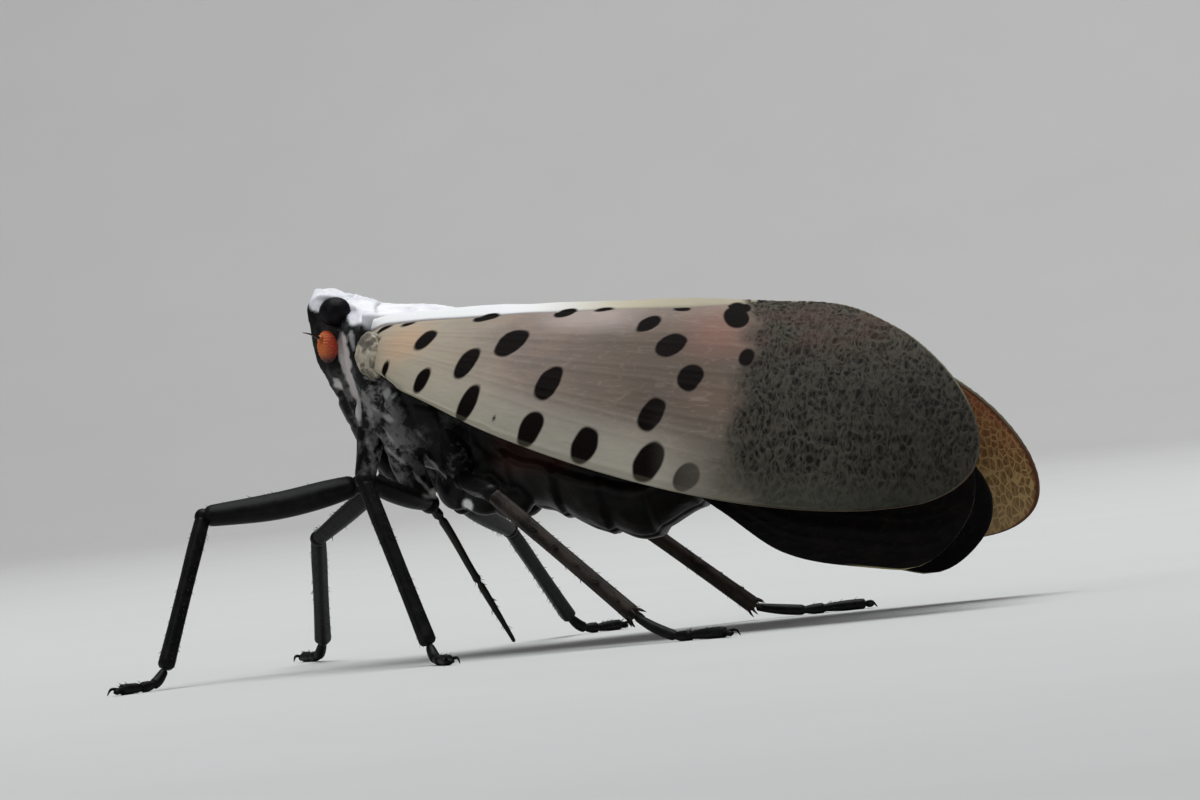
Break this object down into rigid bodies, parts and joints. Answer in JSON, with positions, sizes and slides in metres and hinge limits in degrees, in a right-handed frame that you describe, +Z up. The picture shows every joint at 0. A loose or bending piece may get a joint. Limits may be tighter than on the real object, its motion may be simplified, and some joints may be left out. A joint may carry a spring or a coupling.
{
  "type": "spotted lanternfly",
  "caption": "Still, life-size museum-style insect standing on its feet, with spotted forewings folded like a roof, black hindwings below them, short orange feelers and a lowered beak.",
  "frame": {"origin": "on the floor under the middle of the insect's box", "axes": "-X to the head, +X to the wing tips, -Y to the left side, +Z up"},
  "size_m": [0.0332, 0.0254, 0.0141],
  "materials": {
    "waxed_body": "matte, dark chitin with grey-white wax",
    "dark_body": "satin near-black chitin",
    "eye": "glossy black",
    "antenna": "satin orange",
    "forewing": "pinkish grey-tan membrane with black spots, netted dark grey at the end",
    "hindwing": "black membrane with a pale rim",
    "leg": "satin black chitin"
  },
  "bodies": {
    "root": {"abdomen": "dark_body", "antenna_left": "antenna", "antenna_right": "antenna", "beak": "dark_body", "clypeus": "waxed_body", "coxa_left_front": "leg", "coxa_left_hind": "leg", "coxa_left_middle": "leg", "coxa_right_front": "leg", "coxa_right_hind": "leg", "coxa_right_middle": "leg", "eye_left": "eye", "eye_right": "eye", "femur_left_front": "leg", "femur_left_hind": "leg", "femur_left_middle": "leg", "femur_right_front": "leg", "femur_right_hind": "leg", "femur_right_middle": "leg", "forewing_left": "forewing", "forewing_right": "forewing", "head": "waxed_body", "hindwing_left": "hindwing", "hindwing_right": "hindwing", "pronotum": "waxed_body", "tarsus_left_front": "leg", "tarsus_left_hind": "leg", "tarsus_left_middle": "leg", "tarsus_right_front": "leg", "tarsus_right_hind": "leg", "tarsus_right_middle": "leg", "tegula_left": "waxed_body", "tegula_right": "waxed_body", "thorax": "waxed_body", "tibia_left_front": "leg", "tibia_left_hind": "leg", "tibia_left_middle": "leg", "tibia_right_front": "leg", "tibia_right_hind": "leg", "tibia_right_middle": "leg"}
  },
  "joints": []
}
